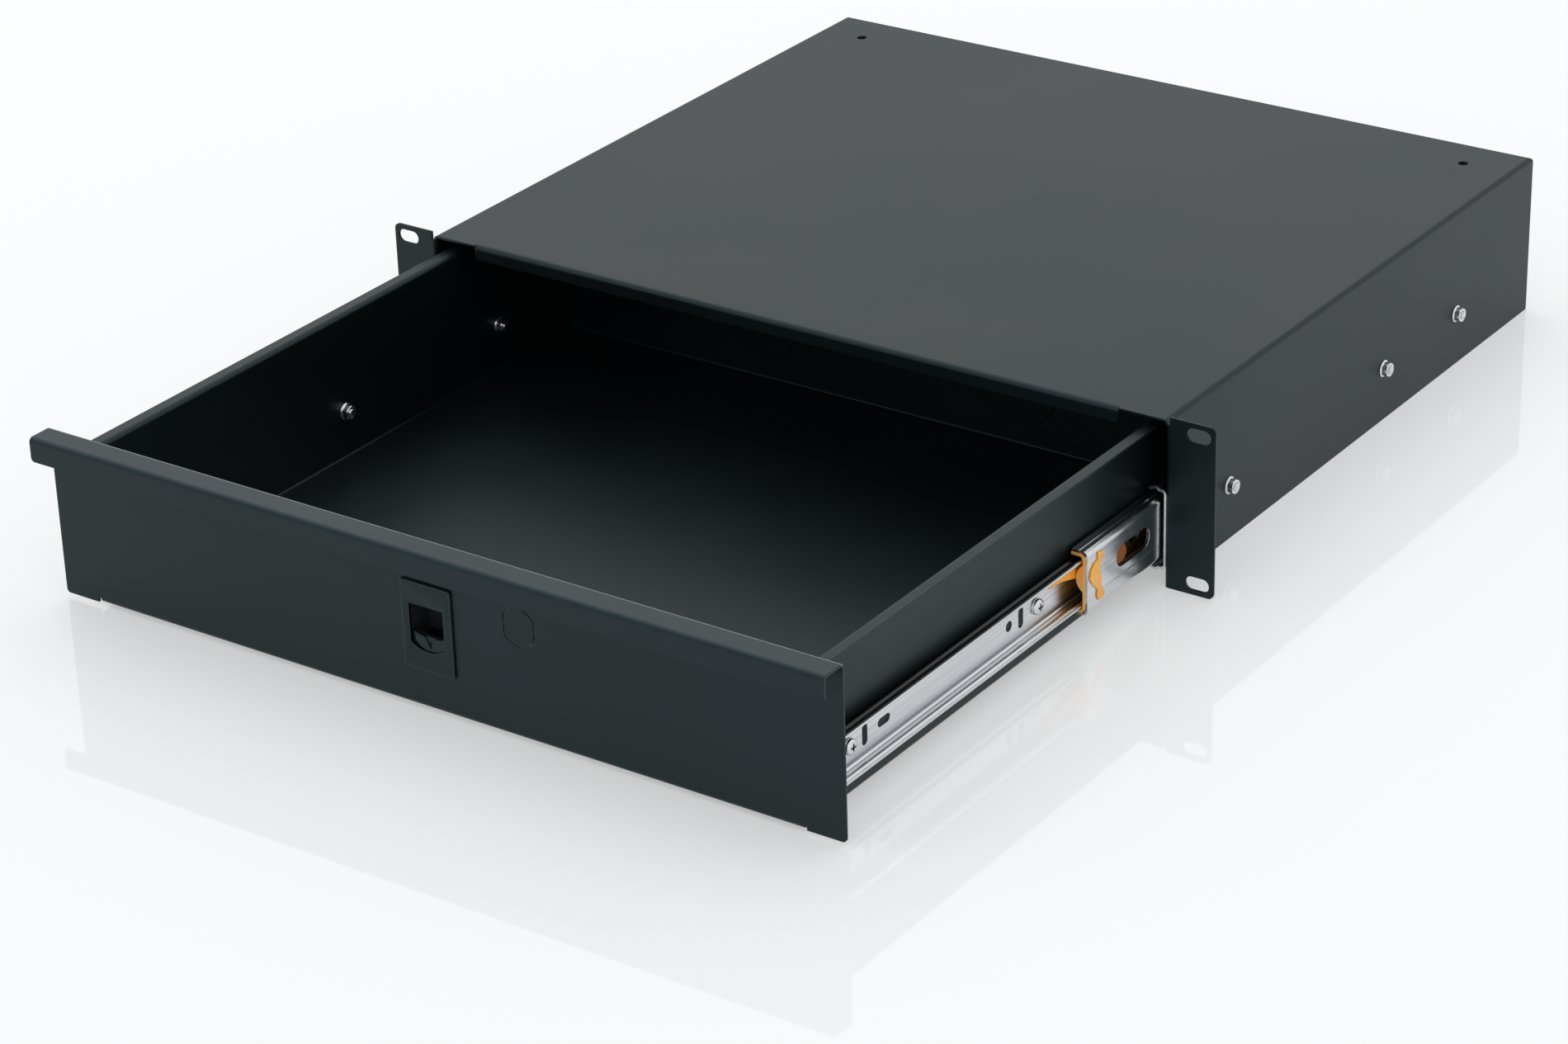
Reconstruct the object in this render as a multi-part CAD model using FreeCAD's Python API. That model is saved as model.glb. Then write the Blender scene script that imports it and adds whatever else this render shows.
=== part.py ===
import FreeCAD, Part
import math
import os

from FreeCAD import Vector

# Sliding rack drawer, two rack units high, drawn at its real size in millimetres.
# X runs to the right, Y from the front to the back and Z up. Heights are worked out
# from the bottom edge of the rack ears, and every piece is lowered by half the panel
# height when it is saved, so that the origin is the middle of the ears' bolt pattern.
# The drawer stands open: its slides are extended as they are in use.

# Rack panel
panel_width = 482.6
panel_height = 88.1
ear_reach = 25.4
ear_slot_from_side = 8.75
ear_slot_from_end = 5.95
ear_slot_length = 12.6
ear_slot_width = 6.8
ear_corner_radius = 3.0

# Folded sheet
sheet = 1.2
bend_inner = 1.2
bend_spare = 0.6
small_corner = 1.5

# Case
case_depth = 379.6
case_top_drop = 1.7
case_lip_from_side = 26.4
case_lip_height = 7.9
rear_flange_height = 14.0
top_hole_from_side = 27.4
top_hole_from_rear = 26.1
top_hole_diameter = 5.5
rear_panel_flange = 12.0
rear_panel_top_gap = 1.5

# Telescopic slide, the section of its three members
slide_thickness = 12.7
slide_height = 43.2
slide_above_floor = 3.65
member_sheet = 1.2
middle_sheet = 1.4
ball_diameter = 4.0
race_clearance = 0.15
formed_race_depth = 0.95
pressed_race_depth = 0.35
cage_sheet = 0.6
cage_gap = 0.35
outer_leg_length = 9.6
outer_ball_from_wall = 6.2
middle_leg_length = 8.5
inner_ball_from_wall = 8.2
inner_leg_length = 7.5
member_bend = 1.5

# Telescopic slide, lengths and places along Y with the drawer shut
outer_front = 1.5
slide_rear_gap = 10.4
middle_front = 2.5
middle_rear_gap = 9.0
inner_front = 4.0
buffer_length = 6.4
buffer_gap = 0.6
outer_cage_from_front = 79.5
outer_cage_length = 188.0
outer_cage_balls = 6
inner_cage_from_front = 160.0
inner_cage_length = 78.0
inner_cage_balls = 5
cage_end_margin = 9.0

# How far the slides stand open
stage_one_open = 67.5
stage_two_open = 209.0

# Holes of the slide members, each from the front end of its member, or from the
# rear end where the number has a minus sign
outer_screw_places = [57.8, 214.7, -60.2]
outer_relief_place = 108.5
outer_relief_length = 14.0
outer_relief_height = 6.0
window_places = [40.8, 188.0, -47.0]
window_length = 30.0
window_height = 11.0
window_rise = 2.0
web_line_from_front = 15.5
web_line_drop = 7.2
web_line_width = 0.5
web_line_depth = 0.25
inner_screw_places = [25.5, 177.5, -42.5]
upright_slot_places = [37.7, 164.4]
level_slot_place = 52.6
level_slot_length = 9.6
small_hole_place = 154.3
member_slot_width = 4.2
member_slot_length = 10.4
small_hole_diameter = 5.2
access_hole_place = 264.0
access_hole_diameter = 10.0

# Fasteners, balls and their holes, drawn with flats to keep their faces few
shank_sides = 8
head_sides = 12
ball_sides = 6
screw_diameter = 4.0
screw_hole_clearance = 0.15
flat_head_diameter = 7.2
pan_head_diameter = 8.0
pan_head_height = 2.5
pan_head_edge = 1.0
pan_head_crown = 5.2
nut_flats = 7.0
nut_height = 3.2
nut_flange_diameter = 9.0
nut_flange_height = 0.8
screw_end = 1.0
cross_recess_width = 1.1
cross_recess_length = 4.2
cross_recess_depth = 1.3

# Drawer pan
pan_rear_gap = 9.5
wall_top_gap = 5.0
wall_flange = 6.1
back_wall_drop = 10.2
knockout_spacing = 156.0
knockout_above_floor = 33.5
knockout_diameter = 46.0
knockout_groove = 0.4
knockout_depth = 0.7

# Drawer front
front_overlap = 6.3
front_top_over = 0.2
front_bottom_z = 2.3
front_gap = 0.5
front_corner_radius = 2.0
pull_depth = 13.8
pull_height = 12.0
return_flange = 16.0
return_notch = 1.6
lock_x = 51.2
lock_z = 58.0
lock_diameter = 19.5
lock_flats = 17.0
lock_slit = 0.45
lock_tab = 2.6

# Latch, its heights from the middle of the bezel
bezel_z = 44.0
bezel_width = 28.4
bezel_height = 44.2
bezel_thickness = 1.5
bezel_corner = 1.6
bezel_edge = 0.5
window_half_width = 9.6
window_top_above = 10.8
window_side_below = 9.0
window_arch = 2.8
tub_wall = 1.5
tub_depth = 14.0
tub_gap = 0.3
latch_gap = 0.4
grip_thickness = 3.6
grip_side_below = 3.4
grip_hollow = 2.4
grip_bottom_below = 15.0
slider_sheet = 2.0
latch_travel = 6.0
bolt_top_gap = 2.8
bolt_width = 14.0
bolt_thickness = 3.0
bolt_ramp = 2.4
bolt_front_gap = 0.4
housing_wall = 1.5
housing_above_floor = 3.3
spring_diameter = 6.0
spring_wire = 0.8
spring_turns = 5
spring_steps = 8
spring_wire_sides = 6

# Clip on the front end of the middle member, heights from the middle of the slide
clip_length = 17.0
clip_overhang = 0.5
clip_wall = 1.3
clip_slot_from_front = 4.5
clip_slot_length = 5.0
clip_slot_low = -1.5
clip_slot_high = 5.0
clip_hook_sheet = 0.8
clip_hook_outline = [
    (8.5, 13.0), (12.6, 12.4), (12.8, 9.8), (10.2, 7.2), (9.9, 3.5), (11.4, -1.3), (10.8, -4.3), (14.2, -9.2),
    (13.8, -10.7), (12.1, -11.5), (8.7, -11.3), (7.7, -8.4), (8.2, -5.8), (3.8, -1.4), (1.3, 2.5), (2.4, 6.0),
    (5.2, 8.6), (8.5, 9.6),
]
clip_tongue_width = 9.0
clip_tongue_end = 37.0
stop_low = -4.3
stop_high = 9.3
stop_length = 4.0

# Release lever of each slide, heights from the middle of the slide
lever_arm = 15.0
lever_reach = 12.7
lever_thickness = 2.4
lever_pivot_height = 6.5
lever_low = 1.4
lever_waist_low = 5.2
lever_high = 8.4
lever_tail_high = 7.4
lever_tip_height = 2.2
lever_waist = 2.0
lever_shoulder = 3.0
lever_knee = 11.6
lever_cap = 0.5
hook_low = 6.3
hook_length = 4.0
hook_gap = 0.5
hook_overlap = 2.0
rivet_diameter = 2.0
rivet_clearance = 0.05
lever_corner = 0.7
part_gap = 0.3

# How far a cutting block runs past what it cuts
over = 1.0

# Values worked out from the sizes above
case_width = panel_width - 2 * ear_reach
case_height = panel_height - case_top_drop
bend_outer = bend_inner + sheet
wall_inner_x = case_width / 2 - sheet
pan_half = wall_inner_x - slide_thickness
floor_z = front_bottom_z + sheet
slide_centre_z = floor_z + slide_above_floor + slide_height / 2
wall_top_z = case_height - sheet - wall_top_gap
back_wall_top_z = wall_top_z - back_wall_drop
knockout_z = floor_z + knockout_above_floor
front_width = case_width + 2 * front_overlap
front_top_z = panel_height + front_top_over
front_shut_y = -front_gap - sheet
front_back_y = front_shut_y + sheet
pan_back_y = case_depth - 2 * sheet - pan_rear_gap
drawer_open = stage_one_open + stage_two_open

outer_back = case_depth - sheet - rear_panel_flange - slide_rear_gap
outer_length = outer_back - outer_front
middle_length = outer_back - middle_rear_gap - middle_front
inner_back = outer_back - buffer_length - buffer_gap
inner_length = inner_back - inner_front
race_radius = ball_diameter / 2 + race_clearance
formed_face = race_radius - formed_race_depth
pressed_face = race_radius - pressed_race_depth
outer_ball_z = slide_height / 2 - race_radius - member_sheet
middle_top = outer_ball_z - pressed_face
inner_ball_z = middle_top - middle_sheet - pressed_face
inner_top = inner_ball_z - formed_face
outer_top = outer_ball_z + formed_face + member_sheet
middle_web = member_sheet + cage_gap + cage_sheet + cage_gap
middle_leg_end = middle_web + middle_leg_length
inner_cage_web = middle_web + middle_sheet + cage_gap
inner_leg_tip = slide_thickness - inner_leg_length

window_top_z = bezel_z + window_top_above
window_side_z = bezel_z - window_side_below
grip_bottom_z = bezel_z - grip_bottom_below
grip_side_z = bezel_z - grip_side_below
tub_half = window_half_width + latch_gap + tub_wall
slider_back_y = front_shut_y + tub_depth + latch_gap
shelf_z = window_top_z + tub_gap + tub_wall + latch_travel + latch_gap
bolt_top_z = case_height - sheet - bolt_top_gap
housing_bottom_z = floor_z + sheet + housing_above_floor

# The clip's stop reaches just short of the lever and of the screw heads.
near_web = slide_thickness - member_sheet
lever_face = near_web - part_gap
lever_inner_face = lever_face - lever_thickness
stop_reach = near_web - max(pan_head_height, lever_thickness + part_gap) - part_gap
catch_y = middle_front + stage_two_open + stop_length + hook_gap
lever_pivot_y = catch_y - lever_arm
lever_tip_y = lever_pivot_y - lever_reach

rest_shift = {
    "case": 0.0,
    "outer_cage": -stage_one_open / 2,
    "middle": -stage_one_open,
    "inner_cage": -stage_one_open - stage_two_open / 2,
    "drawer": -drawer_open,
}


def box(x0, x1, y0, y1, z0, z1):
    return Part.makeBox(x1 - x0, y1 - y0, z1 - z0, Vector(x0, y0, z0))


def rod(start, axis, radius, length):
    return Part.makeCylinder(radius, length, start, axis)


def join(shapes):
    whole = shapes[0].fuse(shapes[1:])
    return whole.removeSplitter()


def rounded(shape, radius, chosen):
    edges = [edge for edge in shape.Edges if chosen(edge.BoundBox)]
    return shape.makeFillet(radius, edges)


def near(value, target):
    return abs(value - target) < 0.001


def flat(low, high, target):
    return near(low, target) and near(high, target)


def both_sides(shapes):
    return shapes + [mirrored(shape) for shape in shapes]


def mirrored(shape):
    return shape.mirror(Vector(0, 0, 0), Vector(1, 0, 0))


def on_side(shape, side):
    return shape if side > 0 else mirrored(shape)


def ring_points(centre, axis, radius, sides):
    # The corners of a regular polygon about an axis, with two of its flats level.
    across_axis = Vector(0, 0, 1) if abs(axis.z) < 0.5 else Vector(1, 0, 0)
    third = axis.cross(across_axis)
    points = []
    for k in range(sides):
        turn = (k + 0.5) * 2 * math.pi / sides
        points.append(centre + across_axis * (radius * math.cos(turn)) + third * (radius * math.sin(turn)))
    return points


def closed_skin(rings):
    # A solid through rings of points that have as many points each.
    faces = [Part.Face(Part.makePolygon(ring + ring[:1])) for ring in (rings[0], rings[-1])]
    for low, high in zip(rings, rings[1:]):
        for k in range(len(low)):
            faces.append(Part.Face(Part.makePolygon([low[k - 1], low[k], high[k], low[k - 1]])))
            faces.append(Part.Face(Part.makePolygon([low[k - 1], high[k], high[k - 1], low[k - 1]])))
    skin = Part.Compound(faces)
    skin.sewShape()
    solid = Part.makeSolid(skin.Shells[0])
    if solid.Volume < 0:
        solid.reverse()
    return solid


def turned(start, axis, steps, sides):
    # A turned piece drawn with flats: each step is a radius and a place along the axis.
    rings = [ring_points(start + axis * place, axis, radius, sides) for radius, place in steps]
    return closed_skin(rings).removeSplitter()


def flat_rod(start, axis, radius, length, sides):
    return turned(start, axis, [(radius, 0), (radius, length)], sides)


def slot_cutter(centre, length, width, along, through, depth):
    # A slot with round ends, centred on a point and cut both ways from it.
    half = (length - width) / 2
    start = centre - through * (depth / 2)
    across_slot = along.cross(through)
    corner = start - along * half - across_slot * (width / 2)
    points = [corner, corner + along * 2 * half]
    points += [points[1] + across_slot * width, corner + across_slot * width, corner]
    middle = Part.Face(Part.makePolygon(points)).extrude(through * depth)
    return join([middle] + [rod(start + along * s * half, through, width / 2, depth) for s in (-1, 1)])


def places(front, back, offsets):
    return [(front if offset > 0 else back) + offset for offset in offsets]


def save(name, shapes, body):
    # A piece is drawn with the drawer shut, then moved out with the body it is on.
    solids = []
    for shape in shapes:
        solids += shape.Solids
    piece = solids[0] if len(solids) == 1 else Part.makeCompound(solids)
    piece.translate(Vector(0, rest_shift[body], -panel_height / 2))
    piece.exportStep("parts/" + name + ".step")
    print(name, len(solids), "valid" if piece.isValid() else "NOT VALID")


def save_pair(name, shapes, body):
    save(name + "_left", [mirrored(shape) for shape in shapes], body)
    save(name + "_right", [shape.copy() for shape in shapes], body)


# Slide section. Sizes across it run from the case wall towards the drawer.

def across(distance):
    return wall_inner_x - distance


def slide_box(d0, d1, y0, y1, z0, z1):
    low, high = slide_centre_z + z0, slide_centre_z + z1
    return box(across(d1), across(d0), y0, y1, low, high)


def slide_rod(d, z, y0, length, radius):
    start = Vector(across(d), y0, slide_centre_z + z)
    return rod(start, Vector(0, 1, 0), radius, length)


def slide_point(d, y, z):
    return Vector(across(d), y, slide_centre_z + z)


def channel(web, leg_end, top, thickness, y0, length):
    # A folded channel: its web, and two legs that run to leg_end.
    d0, d1 = min(web, leg_end), max(web, leg_end)
    y1 = y0 + length
    solid = slide_box(d0, d1, y0, y1, -top, top)
    if web < leg_end:
        inner_web = web + thickness
        hollow = slide_box(inner_web, d1, y0, y1, thickness - top, top - thickness)
    else:
        inner_web = web - thickness
        hollow = slide_box(d0, inner_web, y0, y1, thickness - top, top - thickness)
    solid = rounded(solid, member_bend + thickness, lambda b: flat(b.XMin, b.XMax, across(web))
                    and near(b.YLength, length))
    hollow = rounded(hollow, member_bend, lambda b: flat(b.XMin, b.XMax, across(inner_web))
                     and near(b.YLength, length))
    return solid.cut(hollow)


def formed_races(member, ball_d, ball_z, side, y0, length):
    # Ball races rolled into both legs: a groove on the ball's side, a ridge behind it.
    half = race_radius + member_sheet
    ridges = []
    grooves = []
    for up in (-1, 1):
        leg = ball_z + side * (formed_face + member_sheet / 2)
        beyond = ball_z + side * 2 * half
        low, high = sorted((up * leg, up * beyond))
        ridge = slide_rod(ball_d, up * ball_z, y0, length, half)
        ridges.append(ridge.common(slide_box(ball_d - half, ball_d + half, y0, y0 + length, low, high)))
        grooves.append(slide_rod(ball_d, up * ball_z, y0, length, race_radius))
    return join([member] + ridges).cut(join(grooves))


def pressed_races(member, y0, length):
    # Shallow races pressed into both faces of the middle member's legs.
    grooves = []
    for up in (-1, 1):
        grooves.append(slide_rod(outer_ball_from_wall, up * outer_ball_z, y0, length, race_radius))
        grooves.append(slide_rod(inner_ball_from_wall, up * inner_ball_z, y0, length, race_radius))
    return member.cut(join(grooves))


def web_slot(y, z, length, height):
    centre = slide_point(slide_thickness / 2, y, z)
    return slot_cutter(centre, length, height, Vector(0, 1, 0), Vector(1, 0, 0), 2 * slide_thickness)


def upright_web_slot(y, length, width):
    centre = slide_point(slide_thickness / 2, y, 0)
    return slot_cutter(centre, length, width, Vector(0, 0, 1), Vector(1, 0, 0), 2 * slide_thickness)


def flat_screw(y, extra):
    # Flat head flush with the outer member's web, shank out through the case wall.
    radius = screw_diameter / 2 + extra
    head = flat_head_diameter / 2 + extra
    reach = member_sheet + sheet + nut_flange_height + nut_height + screw_end
    steps = [(head, 0), (radius, head - radius), (radius, reach)]
    return turned(slide_point(member_sheet, y, 0), Vector(1, 0, 0), steps, shank_sides)


def nut(seat, axis):
    # Hexagon nut with a round flange; the flange lies on the seat.
    flange = flat_rod(seat, axis, nut_flange_diameter / 2, nut_flange_height, head_sides)
    corner = nut_flats / 2 / math.cos(math.pi / 6)
    body = flat_rod(seat + axis * nut_flange_height, axis, corner, nut_height, 6)
    bore = flat_rod(seat, axis, screw_diameter / 2, nut_flange_height + nut_height, shank_sides)
    return join([flange, body]).cut(bore)


def pan_screw(y):
    # Pan head with a cross recess on the inner member's web, shank in through the pan wall.
    seat = slide_point(near_web, y, 0)
    radius = pan_head_diameter / 2
    steps = [(radius, 0), (radius, pan_head_edge), (pan_head_crown / 2, pan_head_height)]
    head = turned(seat, Vector(1, 0, 0), steps, head_sides)
    top = seat.x + pan_head_height
    arms = (cross_recess_length, cross_recess_width)
    for long_y, long_z in (arms, arms[::-1]):
        head = head.cut(box(top - cross_recess_depth, top + over, y - long_y / 2, y + long_y / 2,
                            seat.z - long_z / 2, seat.z + long_z / 2))
    reach = member_sheet + sheet + nut_flange_height + nut_height + screw_end
    return join([head, flat_rod(seat, Vector(-1, 0, 0), screw_diameter / 2, reach, shank_sides)])


def screw_holes(hole_places):
    radius = screw_diameter / 2 + screw_hole_clearance
    holes = []
    for y in hole_places:
        start = slide_point(slide_thickness + 2 * sheet, y, 0)
        holes.append(flat_rod(start, Vector(1, 0, 0), radius, 4 * sheet, shank_sides))
    return holes


def ball(centre):
    # A bearing ball drawn with flats, its corners on the true sphere.
    radius = ball_diameter / 2
    bands = ball_sides // 2
    steps = []
    for k in range(bands + 1):
        turn = math.pi * (k + 0.5) / (bands + 1) - math.pi / 2
        steps.append((radius * math.cos(turn), radius * math.sin(turn)))
    return turned(centre, Vector(0, 0, 1), steps, ball_sides)


def cage(web, ball_z, leg_end, ball_d, y0, length, count):
    # Ball cage: a thin channel whose legs are pierced with a pocket for each ball.
    leg_top = ball_z + cage_sheet / 2
    strip = slide_box(web, leg_end, y0, y0 + length, -leg_top, leg_top)
    inside = slide_box(web + cage_sheet, leg_end, y0, y0 + length, cage_sheet - leg_top, leg_top - cage_sheet)
    pocket = ball_diameter / 2 + race_clearance / 2
    pockets = []
    balls = []
    step = (length - 2 * cage_end_margin) / (count - 1)
    for k in range(count):
        y = y0 + cage_end_margin + k * step
        low = slide_point(ball_d, y, -leg_top - over)
        pockets.append(flat_rod(low, Vector(0, 0, 1), pocket, 2 * (leg_top + over), shank_sides))
        balls += [ball(slide_point(ball_d, y, up * ball_z)) for up in (-1, 1)]
    return strip.cut(inside).cut(join(pockets)), balls


# Case

def case_shell():
    half = case_width / 2
    inner_half = half - sheet
    top_in = case_height - sheet
    back_in = case_depth - sheet
    outer = box(-half, half, 0, case_depth, 0, case_height)
    inner = box(-inner_half, inner_half, -over, back_in, -over, top_in)
    outer = rounded(outer, bend_outer, lambda b: flat(b.ZMin, b.ZMax, case_height)
                    and (near(b.YLength, case_depth) or flat(b.YMin, b.YMax, case_depth)))
    inner = rounded(inner, bend_inner, lambda b: flat(b.ZMin, b.ZMax, top_in)
                    and not flat(b.YMin, b.YMax, -over))
    shell = outer.cut(inner)
    low = case_height - rear_flange_height
    shell = shell.cut(box(-inner_half, inner_half, back_in - sheet, case_depth + over, -over, low))
    whole = join([shell, ear(-1), ear(1)])
    lip_half = half - case_lip_from_side
    whole = whole.cut(box(-lip_half, lip_half, -over, bend_outer, case_height - bend_outer,
                          case_height + over))
    whole = join([whole, case_lip(lip_half)])
    seats = both_sides([flat_screw(y, screw_hole_clearance) for y in outer_screw_y])
    hole_x = half - top_hole_from_side
    hole_start = Vector(hole_x, case_depth - top_hole_from_rear, case_height - 2 * sheet)
    seats += both_sides([rod(hole_start, Vector(0, 0, 1), top_hole_diameter / 2, 3 * sheet)])
    return whole.cut(seats + [corner_trim(-1), corner_trim(1)])


def case_lip(lip_half):
    # The front lip is folded down from the top, with a rounded bend and rounded corners.
    low = case_height - case_lip_height
    lip = box(-lip_half, lip_half, 0, bend_outer + bend_spare, low, case_height)
    lip = rounded(lip, bend_outer, lambda b: flat(b.YMin, b.YMax, 0) and flat(b.ZMin, b.ZMax, case_height))
    room = box(-lip_half, lip_half, sheet, 2 * bend_outer, 0, case_height - sheet)
    room = rounded(room, bend_inner, lambda b: flat(b.YMin, b.YMax, sheet)
                   and flat(b.ZMin, b.ZMax, case_height - sheet))
    return rounded(lip.cut(room), small_corner, lambda b: flat(b.ZMin, b.ZMax, low)
                   and near(b.XLength, 0) and near(b.YLength, sheet))


def ear(side):
    # Rack ear, bent outwards from the front edge of the side wall.
    half = case_width / 2
    bend_end = half - sheet + bend_outer
    plate = box(bend_end, panel_width / 2, 0, sheet, 0, panel_height)
    plate = rounded(plate, ear_corner_radius, lambda b: flat(b.XMin, b.XMax, panel_width / 2)
                    and near(b.YLength, sheet))
    web_top = case_height - bend_outer
    corner = box(half - sheet, half + bend_outer, 0, bend_outer + sheet, 0, web_top)
    corner = rounded(corner, bend_outer, lambda b: flat(b.XMin, b.XMax, half - sheet)
                     and flat(b.YMin, b.YMax, 0))
    room = box(half, half + 2 * bend_outer, sheet, 3 * bend_outer, -over, web_top + over)
    room = rounded(room, bend_inner, lambda b: flat(b.XMin, b.XMax, half) and flat(b.YMin, b.YMax, sheet))
    slots = []
    for z in (ear_slot_from_end, panel_height - ear_slot_from_end):
        centre = Vector(panel_width / 2 - ear_slot_from_side, sheet / 2, z)
        slots.append(slot_cutter(centre, ear_slot_length, ear_slot_width, Vector(1, 0, 0), Vector(0, 1, 0),
                                 4 * sheet))
    return on_side(join([plate, corner.cut(room)]).cut(slots), side)


def corner_trim(side):
    # The front edge of the side wall rounds into the ear, so its square corner is cut away.
    half = case_width / 2
    web_top = case_height - bend_outer
    block = box(half - sheet, half, 0, bend_outer, -over, web_top)
    bend_centre = Vector(half - sheet + bend_outer, bend_outer, -2 * over)
    return on_side(block.cut(rod(bend_centre, Vector(0, 0, 1), bend_outer, web_top + 3 * over)), side)


def rear_panel():
    # Closing panel, flanged forwards on three sides and spot-welded inside the shell.
    half = case_width / 2 - sheet
    back = case_depth - sheet
    top = case_height - sheet - rear_panel_top_gap
    front = back - rear_panel_flange
    tray = box(-half, half, front, back, front_bottom_z, top)
    inside = box(sheet - half, half - sheet, front, back - sheet, front_bottom_z - over, top - sheet)
    tray = rounded(tray, bend_outer, lambda b: flat(b.YMin, b.YMax, back)
                   and not flat(b.ZMin, b.ZMax, front_bottom_z))
    inside = rounded(inside, bend_inner, lambda b: flat(b.YMin, b.YMax, back - sheet)
                     and not flat(b.ZMin, b.ZMax, front_bottom_z - over))
    return tray.cut(inside).cut([knockout(side, back - knockout_depth, back + over) for side in (-1, 1)])


def knockout(side, y0, y1):
    # The groove round a cable knock-out, which is sheared and pressed back flush.
    start = Vector(side * knockout_spacing / 2, y0, knockout_z)
    along = Vector(0, 1, 0)
    radius = knockout_diameter / 2
    return rod(start, along, radius, y1 - y0).cut(rod(start, along, radius - knockout_groove, y1 - y0))


# Drawer

def drawer_pan():
    # Floor, side walls with flanges turned outwards at the top, and a lower back wall.
    front = front_back_y
    back = pan_back_y
    wall_in = pan_half - sheet
    outer = box(-pan_half, pan_half, front, back, floor_z, wall_top_z)
    inside = box(-wall_in, wall_in, front - over, back - sheet, floor_z + sheet, wall_top_z + over)
    outer = rounded(outer, bend_outer, lambda b: flat(b.ZMin, b.ZMax, floor_z)
                    and not flat(b.YMin, b.YMax, front))
    inside = rounded(inside, bend_inner, lambda b: flat(b.ZMin, b.ZMax, floor_z + sheet)
                     and not flat(b.YMin, b.YMax, front - over))
    back_cut = box(-pan_half - over, pan_half + over, back - 2 * bend_outer, back + over,
                   back_wall_top_z, wall_top_z + over)
    pan = outer.cut(inside).cut(back_cut)
    trim = box(wall_in - over, pan_half + over, front - over, back + over,
               wall_top_z - bend_outer, wall_top_z + over)
    pan = join([pan.cut(both_sides([trim]))] + both_sides([pan_flange(front, back)]))
    # The floor starts behind the bend of the return flange that it lies on.
    bend_half = pan_half - return_notch
    bend_room = box(-bend_half, bend_half, front - over, front + bend_inner, floor_z - over,
                    floor_z + 2 * sheet)
    inner_face = back - sheet
    knockouts = [knockout(side, inner_face - over, inner_face + knockout_depth) for side in (-1, 1)]
    return pan.cut([bend_room] + knockouts + both_sides(screw_holes(inner_screw_y)))


def pan_flange(front, back):
    wall_in = pan_half - sheet
    flange = box(wall_in, pan_half + wall_flange, front, back - 2 * bend_outer,
                 wall_top_z - bend_outer - bend_spare, wall_top_z)
    flange = rounded(flange, bend_outer, lambda b: flat(b.XMin, b.XMax, wall_in)
                     and flat(b.ZMin, b.ZMax, wall_top_z))
    room = box(pan_half, pan_half + 2 * wall_flange, front - over, back + over, 0, wall_top_z - sheet)
    room = rounded(room, bend_inner, lambda b: flat(b.XMin, b.XMax, pan_half)
                   and flat(b.ZMin, b.ZMax, wall_top_z - sheet))
    return flange.cut(room)


def drawer_front():
    # Front plate with the pull folded forwards and down along its top,
    # and a return flange folded back under the floor of the pan.
    half = front_width / 2
    face = front_shut_y
    pull_low = front_top_z - pull_height
    outline = box(-half, half, face - pull_depth, front_back_y, pull_low, front_top_z)
    outline = rounded(outline, bend_outer, lambda b: flat(b.ZMin, b.ZMax, front_top_z)
                      and near(b.XLength, front_width))
    room = box(-half - over, half + over, face - pull_depth + sheet, face, pull_low - over,
               front_top_z - sheet)
    room = rounded(room, bend_inner, lambda b: flat(b.ZMin, b.ZMax, front_top_z - sheet)
                   and b.XLength > front_width)
    pull = rounded(outline.cut(room), front_corner_radius, lambda b: flat(b.ZMin, b.ZMax, pull_low)
                   and near(b.XLength, 0) and b.YMax < face)
    plate = box(-half, half, face, front_back_y, front_bottom_z, pull_low)
    plate = rounded(plate, front_corner_radius, lambda b: flat(b.ZMin, b.ZMax, front_bottom_z)
                    and near(b.XLength, 0))
    # The return flange stops at a small relief notch inside each end tab.
    notch_in = pan_half - return_notch
    plate = plate.cut(box(-pan_half, pan_half, face - over, front_back_y + over, 0,
                          front_bottom_z + bend_outer))
    front = join([pull, plate, front_return(notch_in)])
    opening = tub_half + tub_gap
    latch_opening = box(-opening, opening, face - over, front_back_y + over,
                        grip_bottom_z - latch_travel - latch_gap, window_top_z + tub_wall + 2 * tub_gap)
    return front.cut([latch_opening, lock_knockout(face)])


def front_return(half):
    face = front_shut_y
    flange = box(-half, half, face, face + return_flange, front_bottom_z,
                 front_bottom_z + bend_outer + bend_spare)
    flange = rounded(flange, bend_outer, lambda b: flat(b.YMin, b.YMax, face)
                     and flat(b.ZMin, b.ZMax, front_bottom_z))
    above = box(-half - over, half + over, front_back_y, face + return_flange + over, floor_z,
                floor_z + 2 * bend_outer)
    above = rounded(above, bend_inner, lambda b: flat(b.YMin, b.YMax, front_back_y)
                    and flat(b.ZMin, b.ZMax, floor_z))
    return flange.cut(above)


def lock_knockout(face):
    # Round knock-out with two flats, for a lock: a fine slit held by small tabs.
    start = Vector(lock_x, face - sheet, lock_z)
    depth = 3 * sheet

    def blank(inset):
        disc = rod(start, Vector(0, 1, 0), lock_diameter / 2 - inset, depth)
        flats = lock_flats / 2 - inset
        return disc.common(box(lock_x - flats, lock_x + flats, start.y - over, start.y + depth + over,
                               lock_z - lock_diameter, lock_z + lock_diameter))

    def tab(half_x, low, high):
        return box(lock_x - half_x, lock_x + half_x, start.y - over, start.y + depth + over, low, high)

    ring = blank(0).cut(blank(lock_slit))
    top_tab = tab(lock_tab / 2, lock_z, lock_z + lock_diameter)
    side_tabs = tab(lock_diameter, lock_z - lock_slit, lock_z + lock_slit)
    return ring.cut([top_tab, side_tabs])


# Latch: a moulded bezel with a finger tub, and a sprung slider that hooks behind the lip

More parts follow.
